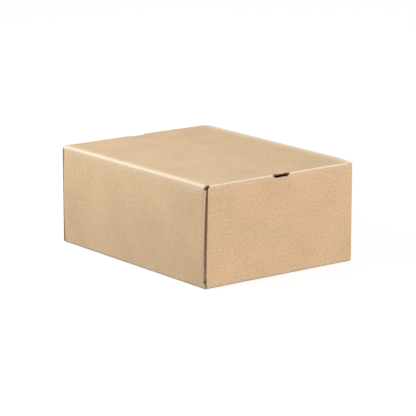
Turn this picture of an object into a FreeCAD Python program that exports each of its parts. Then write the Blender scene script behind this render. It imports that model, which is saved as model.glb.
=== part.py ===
import FreeCAD, Part
import math
import os

import Sketcher
from FreeCAD import Vector

# Closed corrugated carton with a tuck flap at each end.
# Frame: X across the width, Y along the length, Z up.
# The origin is the middle of the underside. The front flap faces -Y.
# Lengths are in millimetres and angles in degrees.

DIMENSIONS = (
    ("box_length", 400.0, "outside, from the front flap's face to the back flap's"),
    ("box_width", 304.0, "outside, over the two side walls"),
    ("box_height", 168.0, "outside, underside to top panel"),
    ("board", 3.0, "thickness of the corrugated board"),
    ("inner_bend", 1.5, "inside radius of every fold"),
    ("lap_reach", 36.0, "glued lap, from the right wall's face inwards"),
    ("lap_edge_gap", 1.0, "bottom panel's cut edge, in from the right wall's face"),
    ("glue_angle", 20.0, "part of the lap's fold that the glue line fills"),
    ("dust_reach", 96.0, "dust flap, from the side wall's face to its free end"),
    ("dust_corner", 16.0, "rounded free corners of a dust flap"),
    ("dust_foot", 1.5, "dust flap's lower edge above the bottom panel"),
    ("dust_head", 1.5, "dust flap's upper edge below the tongue"),
    ("seat_gap", 0.4, "between a closing flap and the dust flaps behind it"),
    ("tuck_gap", 0.3, "between a tongue and the top panel above it"),
    ("tuck_slope", 9.0, "how far a tongue springs down from level"),
    ("tongue_reach", 38.0, "tongue, from its fold to its free edge"),
    ("tongue_inset", 9.0, "tongue's shoulder, in from the side wall's face"),
    ("tongue_taper", 5.0, "how far each side of a tongue runs in"),
    ("tongue_corner", 20.0, "rounded free corners of a tongue"),
    ("side_gap_low", 1.0, "closing flap's side edge to the wall's face, at its crease"),
    ("side_gap_high", 2.6, "the same, at the top of the flap"),
    ("flap_corner", 4.0, "rounded upper corners of a closing flap"),
    ("top_relief", 6.4, "width of the relief at each corner of the top panel"),
    ("low_relief", 2.5, "width of the relief at the left corners of the bottom panel"),
    ("crease_split", 3.0, "angle left open in the crease that a flap turns on"),
    ("thumb_offset", 2.0, "middle of the thumb notch, from the box's middle"),
    ("thumb_width", 34.6, "thumb notch, along the top panel's edge"),
    ("thumb_floor_width", 21.8, "thumb notch, along its lower edge"),
    ("thumb_drop", 5.5, "thumb notch, from the top of the box to its lower edge"),
    ("thumb_depth", 5.0, "thumb notch, in the top panel"),
    ("thumb_tongue_depth", 12.0, "thumb notch, in the tongue below"),
)

# Tools that cut stand out of the board by this much.
OVERCUT = 5.0

QUARTER = 90.0
HALF_TURN = 180.0
MITRE = 45.0
ENDS = {"front": -1, "back": 1}
SIDES = {"left": -1, "right": 1}
PLANES = {"front_view": "XZ_Plane", "side_view": "YZ_Plane", "plan_view": "XY_Plane"}


class Size:
    """A number that keeps the spreadsheet formula it stands for."""

    def __init__(self, value, formula):
        self.value = value
        self.formula = formula

    def joined(self, sign, other, value):
        return Size(value, f"({self.formula} {sign} {other.formula})")

    def __add__(self, other):
        other = as_size(other)
        return self.joined("+", other, self.value + other.value)

    def __sub__(self, other):
        other = as_size(other)
        return self.joined("-", other, self.value - other.value)

    def __mul__(self, other):
        other = as_size(other)
        return self.joined("*", other, self.value * other.value)

    def __truediv__(self, other):
        other = as_size(other)
        return self.joined("/", other, self.value / other.value)

    __radd__ = __add__
    __rmul__ = __mul__

    def __rsub__(self, other):
        return as_size(other) - self

    def __neg__(self):
        return self * -1


def as_size(item):
    if isinstance(item, Size):
        return item
    return Size(float(item), f"{float(item):.6f}")


def sine(angle):
    angle = as_size(angle)
    return Size(math.sin(math.radians(angle.value)), f"sin({angle.formula})")


def cosine(angle):
    angle = as_size(angle)
    return Size(math.cos(math.radians(angle.value)), f"cos({angle.formula})")


def around(centre, radius, angle):
    """The point at an angle on a circle."""
    return (centre[0] + radius * cosine(angle), centre[1] + radius * sine(angle))


def fill_sheet(doc):
    sheet = doc.addObject("Spreadsheet::Sheet", "dims")
    sizes = {}
    for row, (name, value, meaning) in enumerate(DIMENSIONS, start=1):
        sheet.set(f"A{row}", name)
        sheet.set(f"B{row}", str(value))
        sheet.set(f"C{row}", meaning)
        sheet.setAlias(f"B{row}", name)
        sizes[name] = Size(value, f"dims.{name}")
    doc.recompute()
    return sizes


def arc_between(start, end, bend):
    """A minor arc. A positive bend turns left on the way, a negative one right."""
    radius = abs(bend)
    chord = end - start
    middle = (start + end) * 0.5
    rise = math.sqrt(max(radius ** 2 - (chord.Length / 2) ** 2, 0.0))
    left = Vector(-chord.y, chord.x, 0).normalize()
    centre = middle + left * math.copysign(rise, bend)
    first, last = (start, end) if bend > 0 else (end, start)
    angles = [math.atan2(p.y - centre.y, p.x - centre.x) for p in (first, last)]
    if angles[1] < angles[0]:
        angles[1] += 2 * math.pi
    return Part.ArcOfCircle(Part.Circle(centre, Vector(0, 0, 1), radius), *angles)


def draw_outline(sketch, corners):
    """Draws one closed outline and ties each corner to the sheet.

    A corner is (x, y) or (x, y, bend): with a bend, the edge that leaves it is an arc.
    """
    spots = [Vector(as_size(c[0]).value, as_size(c[1]).value, 0) for c in corners]
    edges = []
    for index, corner in enumerate(corners):
        start = spots[index]
        end = spots[(index + 1) % len(corners)]
        if len(corner) == 2:
            number = sketch.addGeometry(Part.LineSegment(start, end), False)
            edges.append((number, 1, 2))
            continue
        bend = as_size(corner[2])
        number = sketch.addGeometry(arc_between(start, end, bend.value), False)
        edges.append((number, 1, 2) if bend.value > 0 else (number, 2, 1))
        radius = Size(abs(bend.value), f"abs({bend.formula})")
        hold(sketch, ("Radius", number), radius)
    for index, (number, start_point, _) in enumerate(edges):
        before, _, end_point = edges[index - 1]
        sketch.addConstraint(
            Sketcher.Constraint("Coincident", before, end_point, number, start_point))
        hold(sketch, ("DistanceX", -1, 1, number, start_point), as_size(corners[index][0]))
        hold(sketch, ("DistanceY", -1, 1, number, start_point), as_size(corners[index][1]))


def hold(sketch, what, size):
    number = sketch.addConstraint(Sketcher.Constraint(*what, size.value))
    sketch.setExpression(f"Constraints[{number}]", size.formula)


def add_sketch(body, name, view, outlines, lift=None):
    """A sketch on one of the body's own planes, moved along its normal by lift."""
    sketch = body.newObject("Sketcher::SketchObject", name)
    plane = next(f for f in body.Origin.OriginFeatures if f.Role == PLANES[view])
    sketch.AttachmentSupport = [(plane, "")]
    sketch.MapMode = "FlatFace"
    if lift is not None:
        sketch.setExpression("AttachmentOffset.Base.z", as_size(lift).formula)
    for corners in outlines:
        draw_outline(sketch, corners)
    return sketch


def extrude(body, kind, sketch, name, length, both_ways=False, second=None, flip=False):
    feature = body.newObject(f"PartDesign::{kind}", name)
    feature.Profile = sketch
    if both_ways:
        feature.SideType = "Symmetric"
    if second is not None:
        feature.SideType = "Two sides"
        feature.setExpression("Length2", as_size(second).formula)
    feature.Reversed = flip
    feature.setExpression("Length", as_size(length).formula)
    body.Document.recompute()
    sketch.Visibility = False
    return feature


def pad(body, sketch, name, length, **how):
    return extrude(body, "Pad", sketch, name, length, **how)


def cut(body, sketch, name, length, **how):
    """Cuts and makes sure that the cut took something away."""
    before = body.Shape.Volume
    feature = extrude(body, "Pocket", sketch, name, length, **how)
    if body.Shape.Volume >= before:
        raise ValueError(f"{name} cuts nothing")
    return feature


def rectangle(x_low, y_low, x_high, y_high):
    return [(x_low, y_low), (x_high, y_low), (x_high, y_high), (x_low, y_high)]


def shared_sizes(size):
    """Sizes that the body and its flaps have in common."""
    size["bend"] = size["board"] + size["inner_bend"]
    size["half_width"] = size["box_width"] / 2
    size["half_length"] = size["box_length"] / 2
    # The side walls end here, where the folds of the dust flaps start.
    size["wall_end"] = (
        size["half_length"] - size["board"] - size["seat_gap"] - size["bend"])
    size["top_underside"] = size["box_height"] - size["board"]
    size["tongue_level"] = size["top_underside"] - size["tuck_gap"]
    return size


def sleeve_outlines(size):
    """Section of the sleeve: four panels, three plain folds and the glued lap."""
    board, bend, inner = size["board"], size["bend"], size["inner_bend"]
    wall, height = size["half_width"], size["box_height"]
    lap_centre = (wall - bend, board + bend)
    glue = around(lap_centre, bend, size["glue_angle"] - QUARTER)
    outside = [
        (wall - size["lap_edge_gap"], 0),
        (wall - size["lap_edge_gap"], board),
        (glue[0], board),
        (glue[0], glue[1], bend),
        (wall, board + bend),
        (wall, height - bend, bend),
        (wall - bend, height),
        (bend - wall, height, bend),
        (-wall, height - bend),
        (-wall, bend, bend),
        (bend - wall, 0),
    ]
    inside = [
        (wall - size["lap_reach"], board),
        (wall - size["lap_reach"], board * 2),
        (wall - bend, board * 2, inner),
        (wall - board, board + bend),
        (wall - board, height - bend, inner),
        (wall - bend, height - board),
        (bend - wall, height - board, inner),
        (board - wall, height - bend),
        (board - wall, bend, inner),
        (bend - wall, board),
    ]
    return [outside, inside]


def add_dust_flap(body, size, end, side):
    """A side wall's fold and the dust flap that it carries."""
    along, across = ENDS[end], SIDES[side]
    board, bend, inner = size["board"], size["bend"], size["inner_bend"]
    wall_end, wall = size["wall_end"], size["half_width"]
    turn = along * across
    fold = [
        (wall * across, wall_end * along, bend * turn),
        ((wall - bend) * across, (wall_end + bend) * along),
        ((wall - bend) * across, (wall_end + inner) * along, inner * -turn),
        ((wall - board) * across, wall_end * along),
    ]
    low = board + size["dust_foot"]
    high = size["tongue_level"] - board - size["dust_head"]
    fold_foot = board + bend
    sketch = add_sketch(
        body, f"{end}_{side}_fold_plan", "plan_view", [fold], fold_foot)
    pad(body, sketch, f"{end}_{side}_fold", high - fold_foot)

    start, tip = wall - bend, wall - size["dust_reach"]
    corner = size["dust_corner"]
    face = [
        (start * across, low),
        ((tip + corner) * across, low, corner * -across),
        (tip * across, low + corner),
        (tip * across, high - corner, corner * -across),
        ((tip + corner) * across, high),
        (start * across, high),
    ]
    # The front view's plane faces -Y, so a lift forward is positive.
    outer_face = (wall_end + bend) * -along
    sketch = add_sketch(
        body, f"{end}_{side}_dust_face", "front_view", [face], outer_face)
    pad(body, sketch, f"{end}_{side}_dust_flap", board, flip=end == "front")


def add_crease(body, size, end):
    """The half of the closing flap's crease that stays with the bottom panel."""
    along = ENDS[end]
    bend, inner = size["bend"], size["inner_bend"]
    centre = (bend - size["half_length"], bend)
    outer_mitre = around(centre, bend, HALF_TURN + MITRE)
    inner_mitre = around(centre, inner, HALF_TURN + MITRE)
    section = [
        (centre[0] * -along, 0, bend * along),
        (outer_mitre[0] * -along, outer_mitre[1]),
        (inner_mitre[0] * -along, inner_mitre[1], inner * -along),
        (centre[0] * -along, size["board"]),
    ]
    sketch = add_sketch(body, f"{end}_crease_section", "side_view", [section])
    to_right = size["half_width"] - size["lap_edge_gap"]
    to_left = size["half_width"] - size["low_relief"]
    pad(body, sketch, f"{end}_crease", to_right, second=to_left)


def thumb_notch_plan(size, end, depth, start):
    """Thumb notch seen from above: wide at the edge, narrow and rounded inside."""
    along = ENDS[end]
    middle = size["thumb_offset"]
    mouth, floor = size["thumb_width"] / 2, size["thumb_floor_width"] / 2
    shoulder = floor + (mouth - floor) / 2
    edge = size["half_length"]
    inside = edge - depth
    return [
        (middle - mouth, (edge + OVERCUT) * along),
        (middle - mouth, (edge - start) * along),
        (middle - shoulder, inside * along),
        (middle + shoulder, inside * along),
        (middle + mouth, (edge - start) * along),
        (middle + mouth, (edge + OVERCUT) * along),
    ]


def make_carton(doc, size):
    """The sleeve with its four dust flaps, folded from one sheet."""
    body = doc.addObject("PartDesign::Body", "carton_body")
    board, bend = size["board"], size["bend"]
    wall, edge = size["half_width"], size["half_length"]
    wall_end, height = size["wall_end"], size["box_height"]

    section = add_sketch(body, "sleeve_section", "front_view", sleeve_outlines(size))
    pad(body, section, "sleeve", size["box_length"], both_ways=True)

    for end, along in ENDS.items():
        # Side walls stop short of the end panels, and the bottom panel at its crease.
        beyond = (edge + OVERCUT) * along
        trim = [
            (beyond, -OVERCUT),
            ((edge - bend) * along, -OVERCUT),
            ((edge - bend) * along, board),
            (wall_end * along, board),
            (wall_end * along, size["top_underside"]),
            (beyond, size["top_underside"]),
        ]
        sketch = add_sketch(body, f"{end}_wall_trim", "side_view", [trim])
        cut(body, sketch, f"{end}_wall_end", size["box_width"] + OVERCUT, both_ways=True)

        reliefs = [
            rectangle((wall - size["top_relief"]) * across, wall_end * along,
                      (wall + OVERCUT) * across, beyond)
            for across in SIDES.values()
        ]
        sketch = add_sketch(
            body, f"{end}_top_relief_plan", "plan_view", reliefs, height + OVERCUT)
        cut(body, sketch, f"{end}_top_relief", board + OVERCUT * 1.5)

        relief = rectangle(
            size["low_relief"] - wall, wall_end * along, -wall - OVERCUT, beyond)
        sketch = add_sketch(
            body, f"{end}_low_relief_plan", "plan_view", [relief], bend)
        cut(body, sketch, f"{end}_low_relief", bend + OVERCUT)

        notch = thumb_notch_plan(size, end, size["thumb_depth"], 0)
        sketch = add_sketch(
            body, f"{end}_thumb_plan", "plan_view", [notch], height + OVERCUT)
        cut(body, sketch, f"{end}_thumb_notch", board + OVERCUT * 1.5)

        add_crease(body, size, end)
        for side in SIDES:
            add_dust_flap(body, size, end, side)
    return body


def flap_section(size, along):
    """Section of a closing flap: half crease, panel, fold and sloping tongue."""
    board, bend, inner = size["board"], size["bend"], size["inner_bend"]
    edge = size["half_length"]
    slope = size["tuck_slope"]
    foot = (bend - edge, bend)
    head = (bend - edge, size["tongue_level"] - bend)
    start = HALF_TURN + MITRE - size["crease_split"]
    outer_start = around(foot, bend, start)
    inner_start = around(foot, inner, start)
    outer_top = around(head, bend, QUARTER - slope)
    inner_top = around(head, inner, QUARTER - slope)
    run_y = size["tongue_reach"] * cosine(slope)
    run_z = size["tongue_reach"] * sine(slope)
    section = [
        (outer_start[0], outer_start[1], -bend),
        (-edge, bend),
        (-edge, head[1], -bend),
        (outer_top[0], outer_top[1]),
        (outer_top[0] + run_y, outer_top[1] - run_z),
        (inner_top[0] + run_y, inner_top[1] - run_z),
        (inner_top[0], inner_top[1], inner),
        (board - edge, head[1]),
        (board - edge, bend, inner),
        (inner_start[0], inner_start[1]),
    ]
    return [facing(corner, along) for corner in section]


def facing(corner, along):
    """A corner of the front flap's section, turned to the end that it is for."""
    mirrored = [corner[0] * -along, corner[1]]
    if len(corner) == 3:
        mirrored.append(corner[2] * -along)
    return tuple(mirrored)


def side_trim(size, across):
    """What is cut from one side of a closing flap, seen from the front."""
    wall, round_off = size["half_width"], size["flap_corner"]
    top = size["tongue_level"]
    low, high = wall - size["side_gap_low"], wall - size["side_gap_high"]
    return [
        ((wall + OVERCUT) * across, -OVERCUT),
        (low * across, -OVERCUT),
        (low * across, 0),
        (high * across, top - round_off, round_off * across),
        ((high - round_off) * across, top),
        ((high - round_off) * across, top + OVERCUT),
        ((wall + OVERCUT) * across, top + OVERCUT),
    ]


def tongue_trim(size, across, along):
    """What is cut from one side of a tongue, seen from above."""
    wall, edge = size["half_width"], size["half_length"]
    corner = size["tongue_corner"]
    shoulder = wall - size["tongue_inset"]
    tip = shoulder - size["tongue_taper"]
    tip_edge = edge - size["bend"] - size["tongue_reach"] * cosine(size["tuck_slope"])
    start = edge - size["bend"]
    return [
        ((wall + OVERCUT) * across, start * along),
        (shoulder * across, start * along),
        (tip * across, (tip_edge + corner) * along, corner * across * -along),
        ((tip - corner) * across, tip_edge * along),
        ((tip - corner) * across, (tip_edge - OVERCUT) * along),
        ((wall + OVERCUT) * across, (tip_edge - OVERCUT) * along),
    ]


def make_flap(doc, size, end):
    """A closing flap with the tongue that tucks under the top panel."""
    along = ENDS[end]
    body = doc.addObject("PartDesign::Body", f"{end}_flap")
    board, bend, edge = size["board"], size["bend"], size["half_length"]
    height, middle = size["box_height"], size["thumb_offset"]

    section = add_sketch(body, f"{end}_flap_section", "side_view", [flap_section(size, along)])
    pad(body, section, f"{end}_flap_panel", size["box_width"], both_ways=True)

    sides = [side_trim(size, across) for across in SIDES.values()]
    sketch = add_sketch(body, f"{end}_side_trim", "front_view", sides)
    cut(body, sketch, f"{end}_side_edges", (size["box_length"] + OVERCUT) * 2, both_ways=True)

    tips = [tongue_trim(size, across, along) for across in SIDES.values()]
    sketch = add_sketch(body, f"{end}_tongue_plan", "plan_view", tips)
    cut(body, sketch, f"{end}_tongue_edges", (height + OVERCUT) * 2, both_ways=True)

    # The hole in the fold: a mouth in the panel and a rounded bay in the tongue.
    floor, mouth = size["thumb_floor_width"] / 2, size["thumb_width"] / 2
    mouth_face = [
        (middle - floor, height - size["thumb_drop"]),
        (middle + floor, height - size["thumb_drop"]),
        (middle + mouth, height),
        (middle - mouth, height),
    ]
    sketch = add_sketch(
        body, f"{end}_thumb_face", "front_view", [mouth_face], (edge + OVERCUT) * -along)
    cut(body, sketch, f"{end}_thumb_mouth", OVERCUT + bend, flip=end == "back")

    bay_plan = thumb_notch_plan(size, end, size["thumb_tongue_depth"], board)
    bay_plan[0] = (bay_plan[0][0], (edge - board) * along)
    bay_plan[-1] = (bay_plan[-1][0], (edge - board) * along)
    bay = [bay_plan[0], bay_plan[2], bay_plan[3], bay_plan[-1]]
    sketch = add_sketch(body, f"{end}_thumb_bay_plan", "plan_view", [bay], height)
    cut(body, sketch, f"{end}_thumb_bay", bend + board * 2)
    return body


def check(doc, bodies):
    for item in doc.Objects:
        if "Invalid" in item.State or "Error" in item.State:
            raise ValueError(f"{item.Name} has failed: {item.State}")
    for body in bodies:
        shape = body.Shape
        if shape.isNull() or not shape.isValid():
            raise ValueError(f"{body.Label} has no valid shape")
        if len(shape.Solids) != 1:
            raise ValueError(f"{body.Label} has {len(shape.Solids)} solids")


def main():
    doc = FreeCAD.newDocument("tuck_end_carton")
    size = shared_sizes(fill_sheet(doc))
    bodies = [make_carton(doc, size)]
    for end in ENDS:
        bodies.append(make_flap(doc, size, end))
    doc.recompute()
    check(doc, bodies)
    os.makedirs("parts", exist_ok=True)
    for body in bodies:
        body.Shape.exportStep(f"parts/{body.Label}.step")
        box = body.Shape.BoundBox
        print(f"{body.Label}: {body.Shape.Volume:.1f} mm3, "
              f"X {box.XMin:.2f} {box.XMax:.2f}, Y {box.YMin:.2f} {box.YMax:.2f}, "
              f"Z {box.ZMin:.2f} {box.ZMax:.2f}")


main()
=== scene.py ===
import math

import bmesh
import bpy
from mathutils import Matrix, Vector, noise


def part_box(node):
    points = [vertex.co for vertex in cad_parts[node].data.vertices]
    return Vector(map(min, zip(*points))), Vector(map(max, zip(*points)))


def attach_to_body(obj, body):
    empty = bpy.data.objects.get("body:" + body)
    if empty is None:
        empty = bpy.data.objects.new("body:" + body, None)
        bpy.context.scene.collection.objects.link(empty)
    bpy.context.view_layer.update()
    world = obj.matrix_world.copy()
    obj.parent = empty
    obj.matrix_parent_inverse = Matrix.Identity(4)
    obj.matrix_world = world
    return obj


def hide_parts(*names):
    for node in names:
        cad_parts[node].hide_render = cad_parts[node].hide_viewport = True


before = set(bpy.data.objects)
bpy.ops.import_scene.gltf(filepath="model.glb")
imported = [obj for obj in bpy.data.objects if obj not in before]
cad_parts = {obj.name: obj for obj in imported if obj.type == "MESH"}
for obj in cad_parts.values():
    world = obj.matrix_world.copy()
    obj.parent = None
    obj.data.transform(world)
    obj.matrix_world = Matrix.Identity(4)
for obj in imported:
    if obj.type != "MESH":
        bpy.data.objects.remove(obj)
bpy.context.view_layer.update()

# Closed corrugated carton with a tuck flap at each end, folded from one die-cut blank.
# Frame: X across the width, Y along the length, Z up, in metres. The front faces -Y.

MM = 0.001
BODY_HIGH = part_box("carton_body")[1]
HALF_WIDTH = BODY_HIGH.x
HALF_LENGTH = BODY_HIGH.y
HEIGHT = BODY_HIGH.z

# The board with its folds, and the glued lap.
BOARD = 3.0 * MM
INNER_BEND = 1.5 * MM
BEND = BOARD + INNER_BEND
LAP_REACH = 36.0 * MM
LAP_EDGE_GAP = 1.0 * MM
# The dust flaps.
DUST_REACH = 96.0 * MM
DUST_CORNER = 16.0 * MM
DUST_FOOT = 1.5 * MM
DUST_HEAD = 1.5 * MM
SEAT_GAP = 0.6 * MM
DUST_BEND = 3.2 * MM
# How far the front dust flaps are drawn in at half their height, and along how much wall.
DUST_PULL = 1.8 * MM
PULL_REACH = 90.0 * MM
# The tongue, its slope in degrees and the fold that it hangs on.
TUCK_GAP = 0.3 * MM
TUCK_SLOPE = 9.0
TUCK_BEND = 3.2 * MM
CREST_RISE = 1.0 * MM
TONGUE_REACH = 38.0 * MM
TONGUE_INSET = 9.0 * MM
TONGUE_TAPER = 5.0 * MM
TONGUE_CORNER = 20.0 * MM
# A closing flap sits off centre, so that one side gap is wide and grows upwards.
SIDE_GAP_LOW = 2.6 * MM
SIDE_GAP_HIGH = 6.4 * MM
FAR_GAP = 0.5 * MM
FLAP_CORNER = 5.0 * MM
FAR_CORNER = 2.0 * MM
# The wide gap's foot, and the strip of side wall that stands beside it.
FOOT_RELIEF = 3.4 * MM
FOOT_LOW = 12.0 * MM
FOOT_HIGH = 17.0 * MM
FOOT_SETBACK = 1.0 * MM
FOOT_SHARE = 0.6
# Where the sleeve's edges are set back beside its folds.
TOP_RELIEF = 8.6 * MM
FAR_RELIEF = 2.8 * MM
LOW_RELIEF = 2.5 * MM
# How far past the middle of its crease a closing flap begins, in degrees.
CREASE_SPLIT = 3.0
# The thumb notch: a mouth in the top panel's edge, and a hole in the flap's fold.
THUMB_MIDDLE = 2.0 * MM
THUMB_MOUTH = 34.6 / 2 * MM
THUMB_FLOOR = 24.4 / 2 * MM
THUMB_DROP = 6.0 * MM
THUMB_DEPTH = 7.0 * MM
THUMB_BAY = 20.0 * MM
THUMB_ROUNDING = 1.6 * MM
BAY_ROUNDING = 4.0 * MM
MOUTH_TURN = 60.0

# The board's layers.
LINER = 0.4 * MM
MEDIUM = 0.24 * MM
FLUTE_PITCH = 6.6 * MM
FLUTE_STEPS = 6
FLUTE_RISE = (BOARD - LINER * 2 - MEDIUM) / 2
# Where in their wave the flutes are at the middle of the board.
FLUTE_PHASE = math.pi * 0.86
# What lies deeper than this is under the outer liner.
UNDER_LINER = LINER * 1.01

# How finely the sheets are divided.
PANEL_CELL = 15.0 * MM
MEDIUM_CELL = 30.0 * MM
BEND_STEPS = 8
CREASE_STEPS = 4
SCORE_STEPS = (1.5 * MM, 3.5 * MM, 8.0 * MM)
# Rows by the top panel's cut edge, in mm from it.
EDGE_STEPS = (8, 6, 4.5, 3, 2, 1, 0.4)
ARC_STEPS = 7
# Lengths that count as nothing, and an angle from which an edge is sharp.
HAIR = 0.001 * MM
SNAP = 0.002 * MM
SHARP_EDGE = 35.0
# How far a fold's worn line and the stretched liner beside it reach; both carry a painted fold
# highlight as well as real wear.
CREASE_HALF = 1.2 * MM
CREASE_REACH = 1.8 * MM
STRETCH_AND_HIGHLIGHT_REACH = 11.0 * MM
RIM_REACH = 8.0 * MM
STRETCH_AND_HIGHLIGHT_SHARE = 0.34
# How pale the sleeve's lesser folds and its top edge are, from wear and a painted highlight, as
# shares of a top fold's.
RIM_WEAR_AND_HIGHLIGHT = 0.8
DUST_WEAR_AND_HIGHLIGHT = 0.1
FOOT_WEAR_AND_HIGHLIGHT = 0.2
FLAP_WEAR_AND_HIGHLIGHT = 0.3
EDGE_WEAR_AND_HIGHLIGHT = 0.85

# How far the panels bulge and waver, and how far along a dust flap the wall's bulge fades.
WALL_BOW = 2.2 * MM
BOW_FADE = 30.0 * MM
FLAP_BOW = 0.7 * MM
TOP_WAVER = 0.5 * MM
WAVER_SCALE = 9
WAVER_SEED = 3.0

# The die has rounded the top panel's edge and pressed the outer liner down over the cut.
EDGE_ROUNDING = 3.0 * MM
EDGE_DROP = 0.4 * MM
EDGE_ROLL = 0.5 * MM
EDGE_LIP = 2.2 * MM
# The top folds stand a little above the panel between them.
LEFT_RIDGE = 0.8 * MM
RIGHT_RIDGE = 2.4 * MM
RIDGE_REACH = 14.0 * MM
RIDGE_CALM = 20.0 * MM
# The lip over the thumb notch sags a little, right of its middle.
LIP_SAG = 2.0 * MM
LIP_LEFT = -8.0 * MM
LIP_RIGHT = 22.0 * MM
LIP_REACH = 18.0 * MM
LIP_CRUSH = 0.6
LIP_SPREAD = 2.4

# Where the sleeve's parts end along Y, the levels of the flaps, and half of a right angle.
WALL_END = HALF_LENGTH - BOARD - SEAT_GAP - DUST_BEND
CORNER_END = HALF_LENGTH - BOARD - SEAT_GAP
FOOT_END = HALF_LENGTH - FOOT_SETBACK
TONGUE_LEVEL = HEIGHT - BOARD - TUCK_GAP
CREST_LEVEL = TONGUE_LEVEL + CREST_RISE
FLAP_HEAD = CREST_LEVEL - TUCK_BEND
DUST_LOW = BOARD + DUST_FOOT
FRONT_DUST_LOW = 13.0 * MM
DUST_HIGH = TONGUE_LEVEL - BOARD - DUST_HEAD
DUST_SLIT = 0.6 * MM
MITRE = 45.0

ENDS = {"front": -1, "back": 1}
OUTER, INNER, CORE = range(3)

# Tones of the kraft papers, in linear light, and the pale tone of a fold, partly real wear and
# partly a painted highlight.
BOARD_TONE = (0.665, 0.480, 0.294)
FLAP_TONE = (0.660, 0.445, 0.265)
INSIDE_TONE = (0.560, 0.400, 0.250)
CORE_TONE = (0.610, 0.440, 0.275)
WORN_AND_HIGHLIGHT_TONE = (0.930, 0.790, 0.630)
# How pale the folds of the sleeve's outside are, and those of the other liners: real wear with a
# painted highlight.
SLEEVE_GAIN = 0.95
OTHER_GAIN = 0.15
# How far clouds, fibres, flecks and flutes shade a tone, and how strongly they show.
CLOUD_DARK = 0.76
CLOUD_PALE = 1.17
FIBRE_SHADE = 1.15
FIBRE_SHARE = 0.55
FLECK_SHADE = 0.62
FLECK_SHARE = 0.30
FLUTE_SHADE = 0.84
FLUTE_SHARE = 0.17
FRAYING = 0.3
# How fine the patterns are, and how much of the clouds is the finer one.
BROAD_SCALE = 16
CLOSE_SCALE = 260
CLOSE_SHARE = 0.7
FIBRE_SCALE = 900
FLECK_SCALE = 620
PATCH_SCALE = 14
# Matt paper: how much it shines, and how high its fibres stand.
SHEEN = 0.25
LINER_RELIEF = 0.05 * MM
CORE_RELIEF = 0.08 * MM

# The studio: what the floor and the room give, and what the camera sees of them.
FLOOR_SIZE = 14
FLOOR_GAP = 0.2 * MM
FLOOR_TONE = 0.24
FLOOR_GLOW = 0.80
ROOM_LIGHT = 0.42
LIGHT_AIM = (0, 0, 0.1)


def direction(angle):
    return Vector((math.cos(angle), math.sin(angle)))


def left_of(angle):
    return Vector((-math.sin(angle), math.cos(angle)))


class FoldPath:
    """The line that a board's outer face follows: straight legs, and bends to the left."""

    def __init__(self, start, heading=0.0):
        self.spot = Vector(start)
        self.heading = heading
        self.length = 0.0
        self.legs = []

    def straight(self, length):
        self.legs.append((self.length, self.length + length, self.spot, self.heading, None))
        self.spot = self.spot + direction(self.heading) * length
        self.length += length
        return self

    def bend(self, degrees, radius=BEND):
        turn = math.radians(degrees)
        centre = self.spot + left_of(self.heading) * radius
        end = self.length + turn * radius
        self.legs.append((self.length, end, centre, self.heading, radius))
        self.heading += turn
        self.spot = centre - left_of(self.heading) * radius
        self.length = end
        return self

    def at(self, along, depth):
        """The point at a distance along the outer face and a depth into the board."""
        leg = next((leg for leg in self.legs if along <= leg[1]), self.legs[-1])
        first, _, anchor, heading, radius = leg
        if radius is None:
            return anchor + direction(heading) * (along - first) + left_of(heading) * depth
        return anchor - left_of(heading + (along - first) / radius) * (radius - depth)

    def bends(self):
        return [leg[:2] for leg in self.legs if leg[4] is not None]

    def stations(self, cell):
        """Where a sheet is divided: closely in bends and beside them, evenly elsewhere."""
        places = []
        for first, last, _, _, radius in self.legs:
            count = BEND_STEPS if radius else max(1, round((last - first) / cell))
            places += [first + (last - first) * step / count for step in range(count + 1)]
            if radius is None and cell <= PANEL_CELL:
                near = [step for step in SCORE_STEPS if step < (last - first) / 3]
                places += [first + step for step in near]
                places += [last - step for step in near]
        return places


def thinned(places, cuts=(), least=0.3 * MM):
    """Sorted places with every cut, and without what nearly repeats another place."""
    kept = sorted({round(cut, 8) for cut in cuts})
    for place in sorted(places):
        if all(abs(place - other) > least for other in kept[-1:] + kept):
            kept.append(place)
    return sorted(kept)


def sides_of(outline):
    return zip(outline, outline[1:] + outline[:1])


def straight_cuts(outline, axis):
    """Where an outline's edges run square to an axis, 0 for X and 1 for Y."""
    return [first[axis] for first, second in sides_of(outline)
            if abs(first[axis] - second[axis]) < HAIR]


# Round the sleeve: lap, right wall, top, left wall and bottom.
SLEEVE = (FoldPath((HALF_WIDTH - LAP_REACH, BOARD))
          .straight(LAP_REACH - BEND)
          .bend(90)
          .straight(HEIGHT - BEND * 2 - BOARD)
          .bend(90)
          .straight((HALF_WIDTH - BEND) * 2)
          .bend(90)
          .straight(HEIGHT - BEND * 2)
          .bend(90)
          .straight(HALF_WIDTH * 2 - BEND - LAP_EDGE_GAP))
# From the middle of the bottom panel up a closing flap and along its tongue.
CLOSING = (FoldPath((0, 0))
           .straight(HALF_LENGTH - BEND)
           .bend(90)
           .straight(FLAP_HEAD - BEND)
           .bend(90 + TUCK_SLOPE, TUCK_BEND)
           .straight(TONGUE_REACH))
# From the middle of a side wall to the free end of a dust flap, seen from above.
DUST = (FoldPath((0, -HALF_WIDTH))
        .straight(WALL_END)
        .bend(90, DUST_BEND)
        .straight(DUST_REACH - BEND))

RIGHT_WALL = SLEEVE.legs[2]
TOP_PANEL = SLEEVE.legs[4]
LEFT_WALL = SLEEVE.legs[6]
BOTTOM_PANEL = SLEEVE.legs[8]
CREASE_MIDDLE = HALF_LENGTH - BEND + math.radians(MITRE) * BEND
FLAP_START = CREASE_MIDDLE + math.radians(CREASE_SPLIT) * BEND


def right_wall_at(z):
    """Place along the sleeve of a height on the right wall."""
    return RIGHT_WALL[0] + z - BOARD - BEND


def left_wall_at(z):
    return LEFT_WALL[0] + HEIGHT - BEND - z


def top_at(x):
    return TOP_PANEL[0] + HALF_WIDTH - BEND - x


def bottom_at(x):
    return BOTTOM_PANEL[0] + x + HALF_WIDTH - BEND


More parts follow.
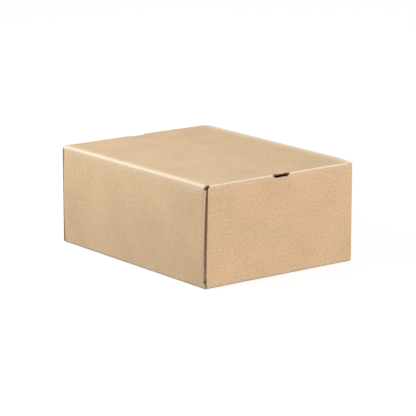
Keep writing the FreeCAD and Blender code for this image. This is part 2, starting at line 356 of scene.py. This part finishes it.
def rounded(corners):
    """An outline whose corners (x, y, radius) become arcs."""
    outline = []
    for index, corner in enumerate(corners):
        spot = Vector(corner[:2])
        if len(corner) == 2:
            outline.append(spot)
            continue
        before = (Vector(corners[index - 1][:2]) - spot).normalized()
        after = (Vector(corners[(index + 1) % len(corners)][:2]) - spot).normalized()
        half_angle = before.angle(after) / 2
        centre = spot + (before + after).normalized() * corner[2] / math.sin(half_angle)
        reach = corner[2] / math.tan(half_angle)
        first = spot + before * reach - centre
        last = spot + after * reach - centre
        for step in range(ARC_STEPS + 1):
            spoke = first.lerp(last, step / ARC_STEPS).normalized()
            outline.append(centre + spoke * corner[2])
    return outline


def sleeve_end(foot_end, dust_low):
    """One end of the sleeve's blank: along the sleeve, and along Y."""
    fold_end = DUST.legs[1][1]
    tip = DUST.length
    right_relief = HALF_WIDTH - FAR_RELIEF
    left_relief = TOP_RELIEF - HALF_WIDTH
    shoulder = (THUMB_MOUTH + THUMB_FLOOR) / 2
    foot = BOARD + BEND
    return [
        (0, WALL_END),
        (right_wall_at(foot - DUST_SLIT), WALL_END),
        (right_wall_at(foot), WALL_END),
        (right_wall_at(foot), fold_end),
        (right_wall_at(foot + DUST_FOOT), tip, DUST_CORNER),
        (right_wall_at(DUST_HIGH), tip, DUST_CORNER),
        (right_wall_at(DUST_HIGH), WALL_END),
        (right_wall_at(DUST_HIGH + DUST_SLIT), WALL_END),
        (right_wall_at(DUST_HIGH + DUST_SLIT), CORNER_END),
        (top_at(right_relief), CORNER_END),
        (top_at(right_relief), HALF_LENGTH),
        (top_at(THUMB_MIDDLE + THUMB_MOUTH), HALF_LENGTH),
        (top_at(THUMB_MIDDLE + shoulder), HALF_LENGTH - THUMB_DEPTH),
        (top_at(THUMB_MIDDLE - shoulder), HALF_LENGTH - THUMB_DEPTH),
        (top_at(THUMB_MIDDLE - THUMB_MOUTH), HALF_LENGTH),
        (top_at(left_relief), HALF_LENGTH),
        (top_at(left_relief), CORNER_END),
        (left_wall_at(DUST_HIGH + DUST_SLIT), CORNER_END),
        (left_wall_at(DUST_HIGH + DUST_SLIT), WALL_END),
        (left_wall_at(DUST_HIGH), WALL_END),
        (left_wall_at(DUST_HIGH), tip, DUST_CORNER),
        (left_wall_at(dust_low), tip, DUST_CORNER),
        (left_wall_at(dust_low), WALL_END),
        (left_wall_at(dust_low - DUST_SLIT), WALL_END),
        (left_wall_at(dust_low * FOOT_SHARE), foot_end),
        (bottom_at(LOW_RELIEF - HALF_WIDTH), foot_end),
        (bottom_at(LOW_RELIEF - HALF_WIDTH), CREASE_MIDDLE),
        (SLEEVE.length, CREASE_MIDDLE),
    ]


def sleeve_outline():
    """The sleeve's blank with its four dust flaps."""
    front = [(corner[0], -corner[1], *corner[2:])
             for corner in sleeve_end(FOOT_END, FRONT_DUST_LOW)]
    return rounded(sleeve_end(WALL_END, DUST_LOW) + front[::-1])


def flap_side(low_gap, high_gap, foot_gap, radius):
    """One side of a closing flap's blank: across, and the distance along the closing path."""
    fold_start = CLOSING.bends()[1][0]
    square = fold_start + math.radians(90) * TUCK_BEND
    shoulder = HALF_WIDTH - TONGUE_INSET
    corners = [(HALF_WIDTH - foot_gap, FLAP_START),
               (HALF_WIDTH - foot_gap, fold_start + FOOT_LOW - FLAP_HEAD),
               (HALF_WIDTH - low_gap, fold_start + FOOT_HIGH - FLAP_HEAD),
               (HALF_WIDTH - high_gap, fold_start)]
    for step in range(1, ARC_STEPS + 1):
        angle = math.radians(90 * step / ARC_STEPS)
        rise = FLAP_HEAD + TUCK_BEND * math.sin(angle) - (CREST_LEVEL - radius)
        drop = radius - math.sqrt(max(radius ** 2 - max(rise, 0) ** 2, 0))
        corners.append((HALF_WIDTH - high_gap - drop, fold_start + angle * TUCK_BEND))
    corners += [(shoulder, square), (shoulder - TONGUE_TAPER, CLOSING.length, TONGUE_CORNER)]
    return corners


def flap_outline(side):
    """A closing flap's blank. Seen from outside, its wide gap is on the left."""
    close = flap_side(FAR_GAP, FAR_GAP, FAR_GAP, FAR_CORNER)
    wide = flap_side(SIDE_GAP_LOW, SIDE_GAP_HIGH, FOOT_RELIEF, FLAP_CORNER)
    right, left = (close, wide) if side < 0 else (wide, close)
    return rounded(right + [(-corner[0], *corner[1:]) for corner in left[::-1]])


def thumb_hole():
    """The hole in a closing flap's fold, in the same terms as the flap's blank."""
    fold_start, fold_end = CLOSING.bends()[1]
    low = fold_start + HEIGHT - THUMB_DROP - FLAP_HEAD
    mouth = fold_start + TUCK_BEND * math.radians(MOUTH_TURN)
    level = HALF_LENGTH - THUMB_BAY
    bay = fold_end + (CLOSING.legs[4][2].x - level) / math.cos(math.radians(TUCK_SLOPE))
    shoulder = (THUMB_MOUTH + THUMB_FLOOR) / 2
    right = [(THUMB_FLOOR, low, THUMB_ROUNDING), (THUMB_MOUTH, mouth),
             (shoulder, bay, BAY_ROUNDING)]
    left = [(-corner[0], *corner[1:]) for corner in reversed(right)]
    return rounded([(corner[0] + THUMB_MIDDLE, *corner[1:]) for corner in right + left])


def lay_grid(across, along):
    """A flat sheet divided at the given places."""
    sheet = bmesh.new()
    bmesh.ops.create_grid(
        sheet, x_segments=len(across) - 1, y_segments=len(along) - 1, size=0.5)
    for vert in sheet.verts:
        column = round((vert.co.x + 0.5) * (len(across) - 1))
        row = round((vert.co.y + 0.5) * (len(along) - 1))
        vert.co = Vector((across[column], along[row], 0))
    return sheet


def is_inside(spot, edges):
    x, y = spot.x, spot.y
    inside = False
    for x1, y1, x2, y2 in edges:
        if (y1 > y) != (y2 > y) and x < x1 + (y - y1) / (y2 - y1) * (x2 - x1):
            inside = not inside
    return inside


def score_outline(sheet, outline, cell):
    """Divides the faces that an outline's slanting edges pass through."""
    for first, second in sides_of(outline):
        run = second - first
        if min(abs(run.x), abs(run.y)) < HAIR:
            continue
        middle = (first + second) / 2
        reach_x, reach_y = abs(run.x) / 2 + cell, abs(run.y) / 2 + PANEL_CELL
        near = []
        for face in sheet.faces:
            corner = face.verts[0].co
            if abs(corner.y - middle.y) < reach_y and abs(corner.x - middle.x) < reach_x:
                near.append(face)
        edges = {edge for face in near for edge in face.edges}
        verts = {vert for face in near for vert in face.verts}
        bmesh.ops.bisect_plane(
            sheet, geom=[*verts, *edges, *near], dist=SNAP,
            plane_co=(first.x, first.y, 0), plane_no=(-run.y, run.x, 0))


def die_cut(sheet, outline, holes, cell):
    """Cuts a sheet to an outline and stamps out its holes."""
    shapes = []
    for shape in (outline, *holes):
        score_outline(sheet, shape, cell)
        shapes.append([(*first, *second) for first, second in sides_of(shape)])
    waste = []
    for face in sheet.faces:
        middle = face.calc_center_median()
        if not is_inside(middle, shapes[0]) or any(is_inside(middle, h) for h in shapes[1:]):
            waste.append(face)
    bmesh.ops.delete(sheet, geom=waste, context="FACES")


def make_layer(name, across, along, outline, holes):
    """One layer of a flat board, as a thin closed sheet with its depth along -Z."""
    cuts = [[cut for shape in (outline, *holes) for cut in straight_cuts(shape, axis)]
            for axis in (0, 1)]
    if name == "medium":
        low, high = min(cuts[1]), max(cuts[1])
        count = round((high - low) / FLUTE_PITCH * FLUTE_STEPS)
        along = [low + (high - low) * step / count for step in range(count + 1)]
    sheet = lay_grid(thinned(across, cuts[0]), thinned(along, cuts[1]))
    die_cut(sheet, outline, holes, MEDIUM_CELL if name == "medium" else PANEL_CELL)
    thickness = MEDIUM if name == "medium" else LINER
    for vert in sheet.verts:
        if name == "outer":
            vert.co.z = 0
        elif name == "inner":
            vert.co.z = LINER - BOARD
        else:
            swing = math.sin(vert.co.y / FLUTE_PITCH * math.tau + FLUTE_PHASE)
            vert.co.z = (MEDIUM - BOARD) / 2 + FLUTE_RISE * swing
    lid = bmesh.ops.extrude_face_region(sheet, geom=sheet.faces[:], use_keep_orig=True)
    moved = [part for part in lid["geom"] if isinstance(part, bmesh.types.BMVert)]
    bmesh.ops.translate(sheet, verts=moved, vec=(0, 0, -thickness))
    bmesh.ops.recalc_face_normals(sheet, faces=sheet.faces[:])
    sheet.normal_update()
    for face in sheet.faces:
        face.material_index = CORE
        if name == "outer" and face.normal.z > 0.5:
            face.material_index = OUTER
        if name == "inner" and face.normal.z < -0.5:
            face.material_index = INNER
    return sheet


def crease_strength(along, bends):
    """1 along the middle of a bend, falling off quickly and then slowly: the strength of a
    fold's wear and painted highlight.
    """
    gap = min(abs(along - (first + last) / 2) for first, last in bends)
    fold = (1 - STRETCH_AND_HIGHLIGHT_SHARE) * math.exp(-(max(gap - CREASE_HALF, 0) / CREASE_REACH) ** 2)
    return fold + STRETCH_AND_HIGHLIGHT_SHARE * math.exp(-(gap / STRETCH_AND_HIGHLIGHT_REACH) ** 2)


def fold_board(name, across, along, outline, holes, fold, crease):
    """Cuts a board's three layers, records where each point lay, and folds them.

    across gives a layer's columns for the size of its cells.
    """
    board = bmesh.new()
    mesh = bpy.data.meshes.new(name)
    for layer in ("outer", "inner", "medium"):
        columns = across(MEDIUM_CELL if layer == "medium" else PANEL_CELL)
        sheet = make_layer(layer, columns, along, outline, holes)
        sheet.to_mesh(mesh)
        board.from_mesh(mesh)
        sheet.free()
    blank = board.loops.layers.uv.new("blank")
    wear_and_highlight = board.verts.layers.float.new("crease")
    for face in board.faces:
        for loop in face.loops:
            loop[blank].uv = loop.vert.co.xy
    for vert in board.verts:
        # Each point's share of the pale fold tone: real wear and a painted highlight.
        vert[wear_and_highlight] = crease(vert.co.x, vert.co.y)
    for vert in board.verts:
        vert.co = fold(vert.co.x, vert.co.y, -vert.co.z)
    bmesh.ops.recalc_face_normals(board, faces=board.faces[:])
    for face in board.faces:
        face.smooth = True
    for edge in board.edges:
        edge.smooth = edge.calc_face_angle(math.pi) < math.radians(SHARP_EDGE)
    board.to_mesh(mesh)
    board.free()
    piece = bpy.data.objects.new(name, mesh)
    bpy.context.scene.collection.objects.link(piece)
    return piece


def bulge(share):
    """0 at both ends of a span and 1 in its middle."""
    return math.sin(math.pi * min(max(share, 0), 1))


def waver(x, y):
    return noise.noise(Vector((x, y, WAVER_SEED)) * WAVER_SCALE)


def on_dust_flap(along, reach, end):
    """1 on a dust flap of the right wall, -1 on one of the left wall, and else 0."""
    slit = DUST_HIGH + DUST_SLIT / 2
    foot = (FRONT_DUST_LOW if end < 0 else DUST_LOW) - DUST_SLIT / 2
    if reach > WALL_END and right_wall_at(0) < along < right_wall_at(slit):
        return 1
    if reach > WALL_END and left_wall_at(slit) < along < left_wall_at(foot):
        return -1
    return 0


def drawn_in(end, bulging, reach):
    """How far a side wall's front end is drawn in by the wall's own bulge."""
    share = min(max(1 - (WALL_END - reach) / PULL_REACH, 0), 1)
    return DUST_PULL * bulging * share if end < 0 else 0


def crush(reach, depth):
    """Reach and depth in the top panel, whose liner is pressed down over its cut edge."""
    back = HALF_LENGTH - reach
    if depth > UNDER_LINER:
        reach -= EDGE_ROLL * max(1 - back / EDGE_ROUNDING, 0)
    elif back < EDGE_ROLL / 2:
        depth += EDGE_LIP
    return reach, depth + EDGE_DROP * max(1 - back / EDGE_ROUNDING, 0) ** 2


def fold_sleeve(along, y, depth):
    """Where a point of the sleeve's blank comes to lie."""
    end = math.copysign(1, y)
    reach = abs(y)
    side = on_dust_flap(along, reach, end)
    if side:
        plan = DUST.at(reach, depth)
        z = along - right_wall_at(0) if side > 0 else left_wall_at(0) - along
        bulging = bulge((z - BEND) / (HEIGHT - BEND * 2))
        left = 1 - min((reach - WALL_END) / BOW_FADE, 1)
        x = side * (WALL_BOW * bulging * left - plan.y)
        return Vector((x, (plan.x - drawn_in(end, bulging, reach)) * end, z))
    on_top = TOP_PANEL[0] < along < TOP_PANEL[1]
    lip = 0
    if on_top:
        middle = (TOP_PANEL[0] + TOP_PANEL[1]) / 2 - along
        near = max(reach - HALF_LENGTH + LIP_REACH, 0) / (LIP_REACH - THUMB_DEPTH)
        lip = bulge((middle - LIP_LEFT) / (LIP_RIGHT - LIP_LEFT)) * min(near, 1) ** 2 * (end < 0)
        thin = bulge((middle - THUMB_MIDDLE) / (THUMB_MOUTH * LIP_SPREAD) + 0.5)
        thin *= min(near, 1) ** 2
        reach, depth = crush(reach, depth * (1 - LIP_CRUSH * thin))
        y = reach * end
    if reach > WALL_END and along > bottom_at(LOW_RELIEF - HALF_WIDTH):
        plan = CLOSING.at(reach, depth)
        return Vector((along - bottom_at(0), plan.x * end, plan.y))
    x, z = SLEEVE.at(along, depth)
    walls = bulge((z - BEND) / (HEIGHT - BEND * 2))
    if RIGHT_WALL[0] < along < RIGHT_WALL[1] or LEFT_WALL[0] < along < LEFT_WALL[1]:
        x += math.copysign(WALL_BOW * walls, x)
        y -= drawn_in(end, walls, reach) * end
    ridge = RIGHT_RIDGE if x > 0 else LEFT_RIDGE
    inward = (HALF_WIDTH - BEND - abs(x)) / RIDGE_REACH
    calm = min((HALF_LENGTH - reach) / RIDGE_CALM, 1)
    z += ridge * calm * math.exp(-max(inward, 0) ** 2) * max(z / HEIGHT, 0) ** 4
    if on_top:
        spread = bulge((along - TOP_PANEL[0]) / (TOP_PANEL[1] - TOP_PANEL[0]))
        z += TOP_WAVER * waver(x, y) * spread - LIP_SAG * lip
    return Vector((x, y, z))


def crease_sleeve(along, y):
    """How pale the sleeve's outer liner is at a place on the blank, up to 1, from wear and a
    painted fold highlight.
    """
    reach = abs(y)
    strength = crease_strength(along, SLEEVE.bends()[1:3])
    # The far top fold's rim: a painted highlight band with some wear.
    if along > TOP_PANEL[0] - BEND:
        rim = math.exp(-((along - TOP_PANEL[0]) / RIM_REACH) ** 2)
        strength = max(strength, RIM_WEAR_AND_HIGHLIGHT * rim)
    # A faint painted highlight on the walls' folds into the dust flaps, with a little wear.
    if RIGHT_WALL[0] < along < RIGHT_WALL[1] or LEFT_WALL[0] < along < LEFT_WALL[1]:
        strength = max(strength, DUST_WEAR_AND_HIGHLIGHT * crease_strength(reach, DUST.bends()))
    # The bottom folds: a faint pale band, wear and painted highlight.
    strength = max(strength, FOOT_WEAR_AND_HIGHLIGHT * crease_strength(along, SLEEVE.bends()[::3]))
    # The top panel's pressed front edge: paler from wear and a painted edge highlight.
    if TOP_PANEL[0] < along < TOP_PANEL[1]:
        strength = max(strength, EDGE_WEAR_AND_HIGHLIGHT - (HALF_LENGTH - reach) / EDGE_ROUNDING)
    if along > LEFT_WALL[1]:
        strength = max(strength, FLAP_WEAR_AND_HIGHLIGHT * crease_strength(reach, CLOSING.bends()))
    return strength


def make_sleeve():
    """Bottom, walls, top and glued lap, with the dust flaps that the walls carry."""
    crease_start = CLOSING.legs[0][1]
    half_crease = CREASE_MIDDLE - crease_start
    in_crease = [crease_start + half_crease * step / CREASE_STEPS
                 for step in range(CREASE_STEPS + 1)]
    by_edge = [HALF_LENGTH - back * MM for back in EDGE_STEPS]
    reaches = [*DUST.stations(PANEL_CELL), *in_crease, *by_edge, CORNER_END, HALF_LENGTH]
    rows = [*reaches, *(-reach for reach in reaches)]
    return fold_board(
        "folded_carton", SLEEVE.stations, rows, sleeve_outline(), (), fold_sleeve, crease_sleeve)


def make_closing_flap(end):
    """The flap at one end, with its tongue."""
    side = ENDS[end]

    def fold(x, along, depth):
        plan = CLOSING.at(along, depth)
        outward = FLAP_BOW * bulge(plan.y / HEIGHT) * bulge(x / (HALF_WIDTH * 2) + 0.5)
        return Vector((x, (plan.x + outward) * side, plan.y))

    # The flap's folds carry the pale fold tone too: wear and a painted highlight.
    def crease(x, along):
        return crease_strength(along, CLOSING.bends())

    def columns(cell):
        count = round(HALF_WIDTH * 2 / cell)
        return [HALF_WIDTH * (2 * step / count - 1) for step in range(count + 1)]

    rows = [place for place in CLOSING.stations(PANEL_CELL) if place > FLAP_START]
    return fold_board(
        f"{end}_closing_flap", columns, rows, flap_outline(side), [thumb_hole()], fold, crease)


def new_group(name, inputs, outputs):
    """An empty node group with named sockets, and its two end nodes."""
    group = bpy.data.node_groups.new(name, "ShaderNodeTree")
    for label, kind, value in inputs:
        socket = group.interface.new_socket(label, in_out="INPUT", socket_type=kind)
        if value is not None:
            socket.default_value = value
    for label, kind in outputs:
        group.interface.new_socket(label, in_out="OUTPUT", socket_type=kind)
    return group, group.nodes.new("NodeGroupInput"), group.nodes.new("NodeGroupOutput")


def attach(tree, value, socket):
    """Links a socket, or sets a plain value."""
    if isinstance(value, bpy.types.NodeSocket):
        tree.links.new(value, socket)
    else:
        socket.default_value = value


def math_node(tree, operation, first, second=0.0):
    node = tree.nodes.new("ShaderNodeMath")
    node.operation = operation
    attach(tree, first, node.inputs[0])
    attach(tree, second, node.inputs[1])
    return node.outputs[0]


def mix_colours(tree, share, first, second):
    node = tree.nodes.new("ShaderNodeMix")
    node.data_type = "RGBA"
    attach(tree, share, node.inputs[0])
    attach(tree, first, node.inputs[6])
    attach(tree, second, node.inputs[7])
    return node.outputs[2]


def scaled(tree, value, gain, offset):
    """A value times a gain, plus an offset."""
    return math_node(tree, "ADD", math_node(tree, "MULTIPLY", value, gain), offset)


def tint(tree, tone, mask, share, colour):
    """Lays a colour over a tone, as far as a mask times a share."""
    return mix_colours(tree, math_node(tree, "MULTIPLY", mask, share), tone, colour)


def noise_node(tree, place, scale, detail, stretch=None):
    """Noise over a place. stretch turns it, in degrees, and scales its X and Y."""
    if stretch:
        mapping = tree.nodes.new("ShaderNodeMapping")
        mapping.inputs["Rotation"].default_value = (0, 0, math.radians(stretch[0]))
        mapping.inputs["Scale"].default_value = (*stretch[1:], 1)
        tree.links.new(place, mapping.inputs["Vector"])
        place = mapping.outputs[0]
    node = tree.nodes.new("ShaderNodeTexNoise")
    node.inputs["Scale"].default_value = scale
    node.inputs["Detail"].default_value = detail
    tree.links.new(place, node.inputs["Vector"])
    return node.outputs["Fac"]


def spread(tree, value, low, high):
    """Stretches the values between low and high over 0 to 1."""
    node = tree.nodes.new("ShaderNodeMapRange")
    node.interpolation_type = "SMOOTHSTEP"
    attach(tree, value, node.inputs["Value"])
    node.inputs["From Min"].default_value = low
    node.inputs["From Max"].default_value = high
    return node.outputs["Result"]


def make_fibre_group():
    """Kraft pulp: cloudy tone, crossing fibres and a few dark flecks."""
    group, given, made = new_group(
        "kraft_fibres",
        [("Place", "NodeSocketVector", None)],
        [("Cloud", "NodeSocketFloat"), ("Fibres", "NodeSocketFloat"),
         ("Flecks", "NodeSocketFloat")])
    place = given.outputs["Place"]
    broad = noise_node(group, place, BROAD_SCALE, 3)
    close = noise_node(group, place, CLOSE_SCALE, 8)
    cloud = math_node(group, "ADD", math_node(group, "MULTIPLY", broad, 1 - CLOSE_SHARE),
                      math_node(group, "MULTIPLY", close, CLOSE_SHARE))
    lengthways = noise_node(group, place, FIBRE_SCALE, 3, (12, 0.22, 1))
    crossways = noise_node(group, place, FIBRE_SCALE, 3, (-38, 1, 0.25))
    fibres = math_node(group, "MULTIPLY", math_node(group, "ADD", lengthways, crossways), 0.5)
    specks = noise_node(group, place, FLECK_SCALE, 2, (25, 0.4, 1))
    group.links.new(spread(group, cloud, 0.28, 0.72), made.inputs["Cloud"])
    group.links.new(spread(group, fibres, 0.33, 0.67), made.inputs["Fibres"])
    group.links.new(spread(group, specks, 0.69, 0.76), made.inputs["Flecks"])
    return group


def make_flute_group():
    """The lines of the flutes, which show faintly through the liner."""
    group, given, made = new_group(
        "flute_lines",
        [("Place", "NodeSocketVector", None), ("Pitch", "NodeSocketFloat", FLUTE_PITCH)],
        [("Lines", "NodeSocketFloat")])
    split = group.nodes.new("ShaderNodeSeparateXYZ")
    group.links.new(given.outputs["Place"], split.inputs[0])
    turns = math_node(group, "DIVIDE", split.outputs["Y"], given.outputs["Pitch"])
    angle = math_node(group, "MULTIPLY", turns, math.tau)
    swing = math_node(group, "SINE", math_node(group, "ADD", angle, FLUTE_PHASE))
    patches = noise_node(group, given.outputs["Place"], PATCH_SCALE, 2)
    patchy = spread(group, patches, 0.3, 0.7)
    lines = math_node(group, "MULTIPLY", math_node(group, "MULTIPLY", swing, 0.5), patchy)
    group.links.new(math_node(group, "ADD", lines, 0.5), made.inputs["Lines"])
    return group


def place_group(tree, group, **inputs):
    node = tree.nodes.new("ShaderNodeGroup")
    node.node_tree = group
    for label, value in inputs.items():
        attach(tree, value, node.inputs[label])
    return node.outputs


def new_material(name, roughness):
    material = bpy.data.materials.new(name)
    material.use_nodes = True
    tree = material.node_tree
    shader = tree.nodes["Principled BSDF"]
    shader.inputs["Specular IOR Level"].default_value = SHEEN
    shader.inputs["Roughness"].default_value = roughness
    return material, tree, shader


def shade(colour, factor):
    return (*(channel * factor for channel in colour), 1.0)


def add_relief(tree, shader, height, distance, strength):
    bump = tree.nodes.new("ShaderNodeBump")
    bump.inputs["Distance"].default_value = distance
    bump.inputs["Strength"].default_value = strength
    tree.links.new(height, bump.inputs["Height"])
    tree.links.new(bump.outputs["Normal"], shader.inputs["Normal"])


def make_liner(name, colour, groups, crease_gain):
    """Matt kraft liner, paler where a fold has stretched it, with a painted highlight along its
    folds.
    """
    fibre_group, flute_group = groups
    material, tree, shader = new_material(name, 0.82)
    place = tree.nodes.new("ShaderNodeUVMap")
    place.uv_map = "blank"
    pulp = place_group(tree, fibre_group, Place=place.outputs["UV"])
    flutes = place_group(tree, flute_group, Place=place.outputs["UV"])
    crease = tree.nodes.new("ShaderNodeAttribute")
    crease.attribute_name = "crease"
    tone = mix_colours(
        tree, pulp["Cloud"], shade(colour, CLOUD_DARK), shade(colour, CLOUD_PALE))
    tone = tint(tree, tone, pulp["Fibres"], FIBRE_SHARE, shade(colour, FIBRE_SHADE))
    tone = tint(tree, tone, pulp["Flecks"], FLECK_SHARE, shade(colour, FLECK_SHADE))
    tone = tint(tree, tone, flutes["Lines"], FLUTE_SHARE, shade(colour, FLUTE_SHADE))
    # The pale fold tone: real wear of the liner and a painted fold highlight.
    frayed_wear_and_highlight = math_node(tree, "MULTIPLY", crease.outputs["Fac"],
                       scaled(tree, pulp["Fibres"], FRAYING, 1 - FRAYING))
    tone = tint(tree, tone, frayed_wear_and_highlight, crease_gain, (*WORN_AND_HIGHLIGHT_TONE, 1.0))
    tree.links.new(tone, shader.inputs["Base Color"])
    roughness = scaled(tree, pulp["Fibres"], 0.16, 0.72)
    tree.links.new(roughness, shader.inputs["Roughness"])
    height = math_node(tree, "ADD", math_node(tree, "MULTIPLY", flutes["Lines"], 0.7),
                       math_node(tree, "MULTIPLY", pulp["Fibres"], 0.3))
    add_relief(tree, shader, height, LINER_RELIEF, 0.8)
    return material


def make_core(name, colour, fibre_group):
    """The fluted medium and the liners' cut edges: darker, softer recycled pulp."""
    material, tree, shader = new_material(name, 0.92)
    place = tree.nodes.new("ShaderNodeTexCoord")
    pulp = place_group(tree, fibre_group, Place=place.outputs["Object"])
    tone = mix_colours(tree, pulp["Cloud"], shade(colour, 0.88), shade(colour, 1.08))
    tone = tint(tree, tone, pulp["Fibres"], 0.35, shade(colour, 1.14))
    tree.links.new(tone, shader.inputs["Base Color"])
    add_relief(tree, shader, pulp["Fibres"], CORE_RELIEF, 0.7)
    return material


def finish_board(piece, body, node, materials):
    """Gives a piece its materials and its place in the frame."""
    for material in materials:
        piece.data.materials.append(material)
    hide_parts(node)
    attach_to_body(piece, body)


def build_carton():
    groups = (make_fibre_group(), make_flute_group())
    inside = make_liner("inner_kraft_liner", INSIDE_TONE, groups, OTHER_GAIN)
    core = make_core("fluted_medium", CORE_TONE, groups[0])
    board = make_liner("outer_kraft_liner", BOARD_TONE, groups, SLEEVE_GAIN)
    flap = make_liner("flap_kraft_liner", FLAP_TONE, groups, OTHER_GAIN)
    finish_board(make_sleeve(), "carton", "carton_body", (board, inside, core))
    for end in ENDS:
        finish_board(make_closing_flap(end), f"{end}_flap", f"{end}_flap",
                     (flap, inside, core))


def seen_directly(tree):
    """1 for the camera and for what it sees in a reflection or through something, else 0."""
    path = tree.nodes.new("ShaderNodeLightPath")
    seen = math_node(tree, "ADD", path.outputs["Is Camera Ray"], path.outputs["Is Glossy Ray"])
    return math_node(tree, "ADD", seen, path.outputs["Is Transmission Ray"])


def make_floor():
    """A plain white floor that keeps the carton's shadow and shows white beyond it."""
    sheet = bmesh.new()
    bmesh.ops.create_grid(sheet, x_segments=1, y_segments=1, size=FLOOR_SIZE)
    mesh = bpy.data.meshes.new("floor")
    sheet.to_mesh(mesh)
    sheet.free()
    floor = bpy.data.objects.new("floor", mesh)
    floor.location.z = -FLOOR_GAP
    bpy.context.scene.collection.objects.link(floor)
    material, tree, shader = new_material("white_floor", 0.9)
    shader.inputs["Base Color"].default_value = (FLOOR_TONE, FLOOR_TONE, FLOOR_TONE, 1)
    shader.inputs["Emission Color"].default_value = (1, 1, 1, 1)
    glow = math_node(tree, "MULTIPLY", seen_directly(tree), FLOOR_GLOW)
    tree.links.new(glow, shader.inputs["Emission Strength"])
    floor.data.materials.append(material)


def make_surroundings():
    """White all round, brighter to the camera than the light that it gives."""
    world = bpy.data.worlds.new("soft_white_room")
    bpy.context.scene.world = world
    world.use_nodes = True
    tree = world.node_tree
    background = tree.nodes["Background"]
    background.inputs["Color"].default_value = (1, 1, 1, 1)
    strength = scaled(tree, seen_directly(tree), 1 - ROOM_LIGHT, ROOM_LIGHT)
    tree.links.new(strength, background.inputs["Strength"])


def add_softbox(name, spot, size, power):
    """A round soft lamp at a spot, in metres and watts, turned to the carton."""
    light = bpy.data.lights.new(name, "AREA")
    light.shape = "DISK"
    light.size = size
    light.energy = power
    softbox = bpy.data.objects.new(name, light)
    softbox.location = spot
    aim = Vector(LIGHT_AIM) - Vector(spot)
    softbox.rotation_euler = aim.to_track_quat("-Z", "Y").to_euler()
    bpy.context.scene.collection.objects.link(softbox)


def make_camera():
    """The photograph's view, fitted to the carton's outline and edges."""
    azimuth, elevation = math.radians(-37.3621), math.radians(13.1203)
    focal_pixels, picture_width, sensor_width = 2300.0, 416.0, 36.0
    beside, above, away = -5.0333 * MM, -72.8013 * MM, 3876.6 * MM
    right = Vector((math.cos(azimuth), math.sin(azimuth), 0))
    back = Vector((math.sin(azimuth) * math.cos(elevation),
                   -math.cos(azimuth) * math.cos(elevation), math.sin(elevation)))
    upward = back.cross(right)
    camera = bpy.data.objects.new("camera", bpy.data.cameras.new("camera"))
    camera.data.sensor_width = sensor_width
    camera.data.lens = focal_pixels * sensor_width / picture_width
    turned = Matrix((right, upward, back)).transposed().to_4x4()
    turned.translation = back * away - right * beside - upward * above
    camera.matrix_world = turned
    bpy.context.scene.collection.objects.link(camera)
    bpy.context.scene.camera = camera


build_carton()
make_floor()
make_surroundings()
add_softbox("left_light", spot=(-1.3, 0.35, 0.95), size=0.8, power=17)
add_softbox("front_light", spot=(2.4, -5.6, 1.8), size=2.2, power=296)
add_softbox("back_light", spot=(1.6, 2.4, 2.2), size=1.8, power=10)
make_camera()

scene = bpy.context.scene
scene.view_settings.view_transform = "Standard"
